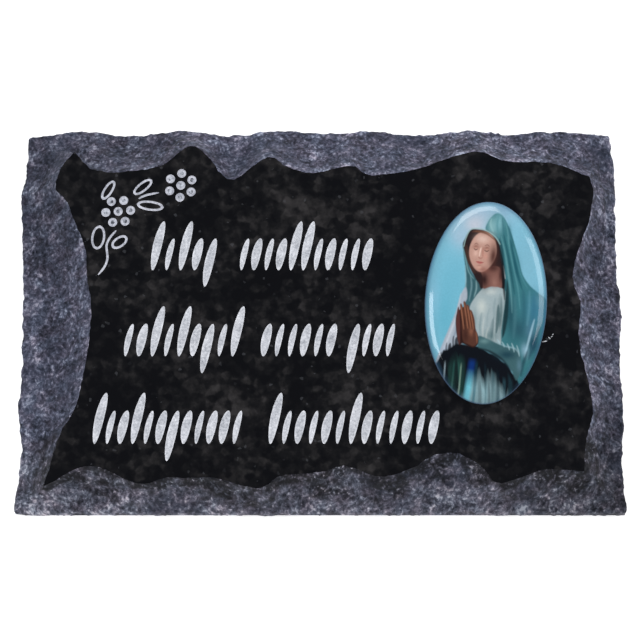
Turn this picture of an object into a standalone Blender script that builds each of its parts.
"""A granite grave plaque, lying on its back.

It is a dark granite slab with hewn edges round a polished face. Rows of chiselled strokes and a
sprig of flowers are cut into the face, and a domed oval medallion is glued on it.

The model is in metres with +Z up. X runs along the rows of strokes and Y up the face. The origin
is under the middle of the slab, on the surface that it lies on.
"""

import math

import bmesh
import bpy
import numpy as np
from mathutils import Matrix, Vector, noise

MM = 0.001

# The slab
SLAB_WIDTH = 0.300
SLAB_HEIGHT = 0.193
SLAB_THICKNESS = 0.030

# The hewn edges. Distances here are in millimetres, and shares run from 0 to 1 along a side.
# Corners of the polished face: how far in from the side before and from the side after, clockwise.
FACE_CORNERS = ((30.5, 18.5), (31.0, 19.5), (26.5, 19.5), (12.5, 21.0))
# Corners of the rim, in the same order.
RIM_CORNERS = ((1.6, 3.0), (2.2, 2.8), (1.6, 0.6), (0.6, 1.8))
# Each side, clockwise from the top: where along it, and how far in the polished face ends there.
TOP_EDGE = (
    (0.128, 27.0), (0.160, 29.0), (0.240, 26.0), (0.292, 15.5), (0.327, 23.5), (0.345, 32.0),
    (0.356, 32.8), (0.420, 21.0), (0.445, 26.0), (0.487, 29.5), (0.553, 25.5), (0.578, 30.5),
    (0.645, 28.0), (0.758, 18.5), (0.803, 23.5), (0.865, 24.0),
)
RIGHT_EDGE = (
    (0.197, 17.5), (0.259, 19.5), (0.422, 29.0), (0.490, 25.5), (0.567, 27.0), (0.744, 21.5),
    (0.837, 25.5),
)
BOTTOM_EDGE = (
    (0.145, 20.5), (0.193, 16.0), (0.223, 13.5), (0.253, 23.0), (0.293, 28.0), (0.322, 27.0),
    (0.352, 21.5), (0.403, 17.0), (0.468, 22.0), (0.500, 19.0), (0.560, 17.5), (0.595, 11.5),
    (0.672, 16.5), (0.740, 16.5), (0.773, 13.5), (0.858, 22.0),
)
LEFT_EDGE = (
    (0.202, 29.0), (0.259, 35.0), (0.373, 39.0), (0.500, 41.0), (0.575, 38.5), (0.642, 37.5),
    (0.736, 30.5), (0.777, 27.0), (0.808, 21.5), (0.855, 23.5),
)
# The rim that the hewn faces run down to: where along the side, and how far it is bitten back.
TOP_RIM = (
    (0.100, 0.6), (0.190, 2.2), (0.270, 0.2), (0.355, 2.2), (0.425, 0.0), (0.510, 1.6), (0.575, 0.2),
    (0.660, 2.2), (0.755, 0.0), (0.830, 1.6), (0.900, 0.6), (0.960, 1.8),
)
RIGHT_RIM = (
    (0.090, 2.1), (0.125, 1.0), (0.190, 1.5), (0.360, 2.2), (0.485, 0.8), (0.580, 1.9), (0.650, 2.4),
    (0.700, 1.5), (0.760, 1.6), (0.870, 3.0), (0.940, 2.4),
)
BOTTOM_RIM = (
    (0.150, 1.2), (0.220, 0.4), (0.300, 2.0), (0.420, 0.6), (0.500, 1.8), (0.600, 0.2), (0.700, 1.6),
    (0.780, 0.4), (0.880, 1.4),
)
LEFT_RIM = (
    (0.070, 3.2), (0.130, 4.1), (0.180, 4.4), (0.225, 3.0), (0.260, 1.8), (0.320, 2.9), (0.500, 2.7),
    (0.600, 2.2), (0.700, 1.1), (0.800, 0.0), (0.845, 0.5), (0.880, 1.7), (0.920, 2.0),
)
DEEPEST_RIM_BITE = 2.2 * MM
RIM_LEVEL = 0.0055
RIDGE_RISE = 0.0018
FAN_REACH = 0.070
STEEPNESS_ON_RIDGE = 1.15
STEEPNESS_IN_BITE = 1.95
HEWN_LEVELS = (0.0, 0.07, 0.21, 0.38, 0.57, 0.78, 1.0)
COLUMN_PITCH = 0.0039
LUMP_SIZE = 0.013
LUMP_HEIGHT = 0.0022
FACET_SIZE = 0.009
FACET_HEIGHT = 0.0034
CHIP_SIZE = 0.0040
CHIP_HEIGHT = 0.0010
RIDGE_NOISE = 0.25
NICK_SIZE = 0.0060
NICK_DEPTH = 0.0005
FEWEST_COLUMNS = 8

# The chiselled rows: strokes that lean, full along their middle and closed in short at both ends.
# Places on the face are shares of the slab's width and height, from its middle.
ROW_BASELINES = (0.097, -0.119, -0.334)
LOW_STROKE = 0.0160
TALL_STROKE = 0.0245
TAIL = 0.0080
STROKE_WIDTH = 0.0043
THIN_STROKE_WIDTH = 0.0029
STROKE_SLANT = math.radians(12.0)
STROKE_BOW = 0.0005
STROKE_LEAN_DOWN = 1.10
STROKE_FULLNESS = 0.45
STROKE_STEPS = 8
GROOVE_FLATNESS = 0.36
GROOVE_END_RADIUS = 0.00012
# Each word is its left and right end and the kinds of its strokes, from left to right.
ROW_WORDS = (
    ((-0.275, -0.160, "TtTsd"), (-0.133, 0.090, "tstsTTtstts")),
    ((-0.315, -0.120, "tsTtTsdtT"), (-0.097, 0.032, "sttsts"), (0.043, 0.125, "dtst")),
    ((-0.360, -0.116, "TtsTtsdstsst"), (-0.085, 0.192, "TtststTsttsts")),
)

# The sprig of flowers. What follows its place is measured from there.
SPRIG_PLACE = (-0.2933, 0.2435)
FLOWER_CENTRES = ((-0.0095, 0.0010), (0.0205, 0.0140))
FLOWER_TURNS = (math.radians(5.0), math.radians(27.0))
PETALS = 6
PETAL_RING = 0.0060
PETAL_RADIUS = 0.0018
PETAL_STEPS = 10
SPRIG_LINE_RADIUS = 0.00052
LEAF_STEPS = 12
# Each leaf is its foot, its tip and its width.
LEAVES = (
    ((-0.0172, 0.0072), (-0.0120, 0.0160), 0.0036),
    ((-0.0020, 0.0098), (0.0062, 0.0166), 0.0038),
    ((-0.0002, 0.0046), (0.0120, 0.0030), 0.0040),
    ((-0.0194, -0.0174), (-0.0182, -0.0064), 0.0058),
    ((-0.0118, -0.0166), (-0.0052, -0.0118), 0.0044),
)
# Each stem is the points that its groove runs through.
STEM_STEPS = 2
STEMS = (
    ((-0.0100, -0.0082), (-0.0130, -0.0118), (-0.0148, -0.0160), (-0.0140, -0.0215), (-0.0152, -0.0262),
     (-0.0186, -0.0306)),
    ((0.0000, 0.0072), (0.0040, 0.0092), (0.0104, 0.0104)),
)

# The medallion
MEDALLION_WIDTH = 0.0580
MEDALLION_HEIGHT = 0.0980
MEDALLION_PLACE = (0.2633, 0.0166)
MEDALLION_TURN = math.radians(-4.0)
MEDALLION_EDGE = 0.0018
MEDALLION_SHOULDER = 0.0042
MEDALLION_SHOULDER_RISE = 0.0022
MEDALLION_CROWN_RISE = 0.0012
MEDALLION_STEPS = 64
SHOULDER_RINGS = 5
CROWN_RINGS = 4
CROWN_FLAT_FROM = 0.92
GLUE_GAP = 0.0003

GRANITE_COLOUR = (0.035, 0.036, 0.042, 1.0)
GLAZE_COLOUR = (0.18, 0.42, 0.48, 1.0)


def clear_scene():
    for obj in list(bpy.data.objects):
        bpy.data.objects.remove(obj, do_unlink=True)


def new_collection(name):
    collection = bpy.data.collections.new(name)
    bpy.context.scene.collection.children.link(collection)
    return collection


def new_material(name, colour, roughness):
    material = bpy.data.materials.new(name)
    material.use_nodes = True
    shader = material.node_tree.nodes["Principled BSDF"]
    shader.inputs["Base Color"].default_value = colour
    shader.inputs["Roughness"].default_value = roughness
    shader.inputs["Metallic"].default_value = 0.0
    material.diffuse_color = colour
    return material


def lerp(start, end, share):
    return start + (end - start) * share


def smooth_curve(stations):
    """A function through the stations that never overshoots them, flat at each high and low."""
    at, value = np.array(stations).T
    rise = np.diff(value) / np.diff(at)
    slope = np.zeros(len(at))
    for i in range(1, len(at) - 1):
        if rise[i - 1] * rise[i] > 0:
            slope[i] = 2 * rise[i - 1] * rise[i] / (rise[i - 1] + rise[i])
    slope[0], slope[-1] = rise[0], rise[-1]

    def curve(place):
        i = int(np.clip(np.searchsorted(at, place) - 1, 0, len(at) - 2))
        span = at[i + 1] - at[i]
        u = (place - at[i]) / span
        return (
            value[i] * (1 + 2 * u) * (1 - u) ** 2
            + slope[i] * span * u * (1 - u) ** 2
            + value[i + 1] * u * u * (3 - 2 * u)
            + slope[i + 1] * span * u * u * (u - 1)
        )

    return curve


def through_points(points, steps):
    """Points along a smooth line through the given ones, a set number of steps between each two."""
    padded = [2 * points[0] - points[1], *points, 2 * points[-1] - points[-2]]
    found = []
    for before, start, end, after in zip(padded, padded[1:], padded[2:], padded[3:]):
        for step in range(steps):
            u = step / steps
            found.append(
                0.5 * (
                    2 * start
                    + (end - before) * u
                    + (2 * before - 5 * start + 4 * end - after) * u * u
                    + (3 * start - before - 3 * end + after) * u ** 3
                )
            )
    return found + [points[-1]]


def on_face(place):
    """The point of the face at these shares of the slab's width and height from its middle."""
    return Vector((place[0] * SLAB_WIDTH, place[1] * SLAB_HEIGHT))


def loft(name, rings):
    """One closed solid through rings of equally many points, capped below the first and above the last."""
    bm = bmesh.new()
    made = [[bm.verts.new(point) for point in ring] for ring in rings]
    for lower, upper in zip(made, made[1:]):
        for i in range(len(lower)):
            j = (i + 1) % len(lower)
            bm.faces.new((lower[i], lower[j], upper[j], upper[i]))
    bm.faces.new(made[0])
    bm.faces.new(made[-1])
    bmesh.ops.recalc_face_normals(bm, faces=bm.faces)
    mesh = bpy.data.meshes.new(name)
    bm.to_mesh(mesh)
    bm.free()
    return mesh


# The hewn slab

def slab_sides():
    """Each side, clockwise from the top: its direction, its outward direction, its length, how far
    it lies from the middle, its stations, and how far its foot follows the rim's bites."""
    width, height = SLAB_WIDTH, SLAB_HEIGHT
    return (
        (Vector((1, 0)), Vector((0, 1)), width, height / 2, TOP_EDGE, TOP_RIM, 1.0),
        (Vector((0, -1)), Vector((1, 0)), height, width / 2, RIGHT_EDGE, RIGHT_RIM, 1.0),
        (Vector((-1, 0)), Vector((0, -1)), width, height / 2, BOTTOM_EDGE, BOTTOM_RIM, 0.0),
        (Vector((0, 1)), Vector((-1, 0)), height, width / 2, LEFT_EDGE, LEFT_RIM, 1.0),
    )


def side_curve(stations, length, corner_before, corner_after):
    """The distance in from a side, in metres, against the distance along it, corner to corner."""
    start = (corner_before[0] * MM, corner_before[1] * MM)
    end = (length - corner_after[1] * MM, corner_after[0] * MM)
    middle = [(share * length, inset * MM) for share, inset in stations]
    return start[0], end[0], smooth_curve([start, *middle, end])


def fanned(along, face_start, face_end, rim_start, rim_end):
    """Where on the rim the hewn face below a point of the polished edge ends: the cuts spread out
    towards the slab's corners."""
    near_start = max(0.0, 1 - (along - face_start) / FAN_REACH)
    near_end = max(0.0, 1 - (face_end - along) / FAN_REACH)
    return along - (face_start - rim_start) * near_start ** 2 + (rim_end - face_end) * near_end ** 2


def lump(point, size, height):
    return noise.noise(point / size) * height


def facet(point, size, height):
    """Relief with hollows that meet in sharp ridges, as struck stone breaks."""
    return (RIDGE_NOISE - abs(noise.noise(point / size))) * height


def hewn_column(face, rim, foot, out, bite):
    """The points of one cut down the hewn edge, from the foot up to the polished face."""
    rim_level = RIM_LEVEL + RIDGE_RISE * (1 - bite) + lump(rim.to_3d(), LUMP_SIZE, LUMP_HEIGHT)
    steepness = lerp(STEEPNESS_ON_RIDGE, STEEPNESS_IN_BITE, bite)
    column = []
    for level in HEWN_LEVELS:
        flat = face.lerp(rim, level)
        drop = (SLAB_THICKNESS - rim_level) * (1 - (1 - level) ** steepness)
        point = Vector((flat.x, flat.y, SLAB_THICKNESS - drop))
        inner = 4 * level * (1 - level)
        rough = (
            lump(point, LUMP_SIZE, LUMP_HEIGHT)
            + facet(point, FACET_SIZE, FACET_HEIGHT)
            + lump(point, CHIP_SIZE, CHIP_HEIGHT)
        )
        slope_out = Vector((out.x, out.y, 1)).normalized()
        column.append(point + slope_out * rough * inner)
    column.append(Vector((foot.x, foot.y, 0)))
    return column[::-1]


def slab_rings():
    """The slab's rings of points, from its foot up to the polished face."""
    columns = []
    for side, (direction, out, length, reach, edge, rim, follow) in enumerate(slab_sides()):
        after = (side + 1) % len(FACE_CORNERS)
        face_start, face_end, face_inset = side_curve(
            edge, length, FACE_CORNERS[side], FACE_CORNERS[after]
        )
        rim_start, rim_end, rim_inset = side_curve(rim, length, RIM_CORNERS[side], RIM_CORNERS[after])
        origin = out * reach - direction * length / 2
        count = max(FEWEST_COLUMNS, round((face_end - face_start) / COLUMN_PITCH))
        for i in range(count):
            along = lerp(face_start, face_end, i / count)
            on_rim = fanned(along, face_start, face_end, rim_start, rim_end)
            setback = rim_inset(on_rim)
            bite = min(1.0, setback / DEEPEST_RIM_BITE)
            face_point = origin + direction * along - out * face_inset(along)
            face_point += out * lump(face_point.to_3d(), NICK_SIZE, NICK_DEPTH)
            rim_point = origin + direction * on_rim - out * setback
            foot_point = origin + direction * on_rim - out * setback * follow
            columns.append(hewn_column(face_point, rim_point, foot_point, out, bite))
    return [list(ring) for ring in zip(*columns)]


# The cutters for the carving

def groove_cutter(name, lines, collection):
    """A cutter for V-shaped grooves. Each line is its points on the face, its radii and whether it
    closes on itself."""
    curve = bpy.data.curves.new(name, "CURVE")
    curve.dimensions = "2D"
    curve.bevel_depth = 1.0
    curve.bevel_resolution = 0
    curve.use_fill_caps = True
    curve.fill_mode = "NONE"
    for points, radii, closes in lines:
        spline = curve.splines.new("POLY")
        spline.points.add(len(points) - 1)
        for control, point, radius in zip(spline.points, points, radii):
            control.co = (point.x, point.y, 0, 1)
            control.radius = radius
        spline.use_cyclic_u = closes
    guide = bpy.data.objects.new(name, curve)
    collection.objects.link(guide)
    bpy.context.view_layer.update()
    evaluated = guide.evaluated_get(bpy.context.evaluated_depsgraph_get())
    mesh = bpy.data.meshes.new_from_object(evaluated)
    place = guide.matrix_world.copy()
    bpy.data.objects.remove(guide, do_unlink=True)
    mesh.transform(Matrix.Diagonal((1, 1, GROOVE_FLATNESS, 1)))
    bm = bmesh.new()
    bm.from_mesh(mesh)
    bmesh.ops.remove_doubles(bm, verts=bm.verts, dist=0.00001)
    bmesh.ops.recalc_face_normals(bm, faces=bm.faces)
    bm.to_mesh(mesh)
    bm.free()
    cutter = bpy.data.objects.new(name, mesh)
    cutter.matrix_world = place
    cutter.location.z = SLAB_THICKNESS
    cutter.hide_render = True
    cutter.display_type = "WIRE"
    collection.objects.link(cutter)
    return cutter


def chisel_stroke(foot_x, foot_y, length, width):
    """One leaning stroke, full along its middle and closed in short at both ends."""
    points, radii = [], []
    for step in range(STROKE_STEPS + 1):
        u = (1 - math.cos(math.pi * step / STROKE_STEPS)) / 2
        bow = STROKE_BOW * math.sin(math.pi * u)
        points.append(Vector((foot_x + length * u * math.tan(STROKE_SLANT) - bow, foot_y + length * u)))
        swell = max(0.0, math.sin(math.pi * u ** STROKE_LEAN_DOWN)) ** STROKE_FULLNESS
        radii.append(max(GROOVE_END_RADIUS, width / 2 * swell))
    return points, radii, False


def stroke_lines():
    """The rows of strokes. In a word, T is a tall stroke, d one with a tail, s a low one and t a
    thin low one."""
    lengths = {"T": TALL_STROKE, "d": LOW_STROKE + TAIL, "s": LOW_STROKE, "t": LOW_STROKE}
    lines = []
    for baseline, words in zip(ROW_BASELINES, ROW_WORDS):
        for left, right, kinds in words:
            start, end = on_face((left, baseline)), on_face((right, baseline))
            top_shift = LOW_STROKE * math.tan(STROKE_SLANT)
            pitch = (end.x - start.x - top_shift - STROKE_WIDTH) / (len(kinds) - 1)
            for i, kind in enumerate(kinds):
                foot_x = start.x + STROKE_WIDTH / 2 + pitch * i
                foot_y = start.y
                if kind == "d":
                    foot_x -= TAIL * math.tan(STROKE_SLANT)
                    foot_y -= TAIL
                width = THIN_STROKE_WIDTH if kind == "t" else STROKE_WIDTH
                lines.append(chisel_stroke(foot_x, foot_y, lengths[kind], width))
    return lines


def petal_lines():
    lines = []
    for (x, y), turn in zip(FLOWER_CENTRES, FLOWER_TURNS):
        centre = on_face(SPRIG_PLACE) + Vector((x, y))
        middles = [centre]
        for petal in range(PETALS):
            angle = turn + 2 * math.pi * petal / PETALS
            middles.append(centre + PETAL_RING * Vector((math.cos(angle), math.sin(angle))))
        for middle in middles:
            angles = [2 * math.pi * step / PETAL_STEPS for step in range(PETAL_STEPS)]
            points = [middle + PETAL_RADIUS * Vector((math.cos(a), math.sin(a))) for a in angles]
            lines.append((points, [SPRIG_LINE_RADIUS] * PETAL_STEPS, True))
    return lines


def leaf_lines():
    lines = []
    for foot, tip, width in LEAVES:
        foot, tip = on_face(SPRIG_PLACE) + Vector(foot), on_face(SPRIG_PLACE) + Vector(tip)
        half = (tip - foot) / 2
        across = Vector((-half.y, half.x)).normalized() * width / 2
        points = []
        for step in range(LEAF_STEPS):
            angle = 2 * math.pi * step / LEAF_STEPS
            points.append(foot + half - half * math.cos(angle) + across * math.sin(angle))
        lines.append((points, [SPRIG_LINE_RADIUS] * LEAF_STEPS, True))
    return lines


def stem_lines():
    lines = []
    for stem in STEMS:
        points = through_points([on_face(SPRIG_PLACE) + Vector(point) for point in stem], STEM_STEPS)
        ends = [GROOVE_END_RADIUS * 2]
        lines.append((points, ends + [SPRIG_LINE_RADIUS] * (len(points) - 2) + ends, False))
    return lines


def cut(target, cutter):
    modifier = target.modifiers.new(cutter.name, "BOOLEAN")
    modifier.operation = "DIFFERENCE"
    modifier.solver = "EXACT"
    modifier.object = cutter


def make_slab(parts, cutters):
    mesh = loft("granite_slab", slab_rings())
    slab = bpy.data.objects.new("granite_slab", mesh)
    mesh.materials.append(new_material("granite", GRANITE_COLOUR, 0.35))
    parts.objects.link(slab)
    cut(slab, groove_cutter("row_strokes", stroke_lines(), cutters))
    cut(slab, groove_cutter("sprig_grooves", petal_lines() + leaf_lines() + stem_lines(), cutters))
    return slab


# The medallion

def medallion_levels():
    """How far in from its edge each ring of the medallion lies, and how high."""
    levels = [(0.0, 0.0), (0.0, MEDALLION_EDGE)]
    for ring in range(1, SHOULDER_RINGS + 1):
        turn = math.pi / 2 * ring / SHOULDER_RINGS
        inset = MEDALLION_SHOULDER * (1 - math.cos(turn))
        levels.append((inset, MEDALLION_EDGE + MEDALLION_SHOULDER_RISE * math.sin(turn)))
    crown_width = MEDALLION_WIDTH / 2 - MEDALLION_SHOULDER
    shoulder_top = MEDALLION_EDGE + MEDALLION_SHOULDER_RISE
    for ring in range(1, CROWN_RINGS + 1):
        share = CROWN_FLAT_FROM * ring / CROWN_RINGS
        rise = MEDALLION_CROWN_RISE * (1 - (1 - share) ** 2)
        levels.append((MEDALLION_SHOULDER + crown_width * share, shoulder_top + rise))
    return levels


def make_medallion(parts):
    rings = []
    for inset, level in medallion_levels():
        ring = []
        for step in range(MEDALLION_STEPS):
            angle = 2 * math.pi * step / MEDALLION_STEPS
            x = (MEDALLION_WIDTH / 2 - inset) * math.cos(angle)
            y = (MEDALLION_HEIGHT / 2 - inset) * math.sin(angle)
            ring.append(Vector((x, y, level)))
        rings.append(ring)
    mesh = loft("oval_medallion", rings)
    mesh.materials.append(new_material("glazed picture", GLAZE_COLOUR, 0.1))
    mesh.shade_smooth()
    mesh.set_sharp_from_angle(angle=math.radians(50.0))
    medallion = bpy.data.objects.new("oval_medallion", mesh)
    medallion.location = (*on_face(MEDALLION_PLACE), SLAB_THICKNESS + GLUE_GAP)
    medallion.rotation_euler = (0, 0, MEDALLION_TURN)
    parts.objects.link(medallion)
    return medallion


def main():
    clear_scene()
    parts = new_collection("grave_plaque")
    cutters = new_collection("cutters")
    make_slab(parts, cutters)
    make_medallion(parts)


main()
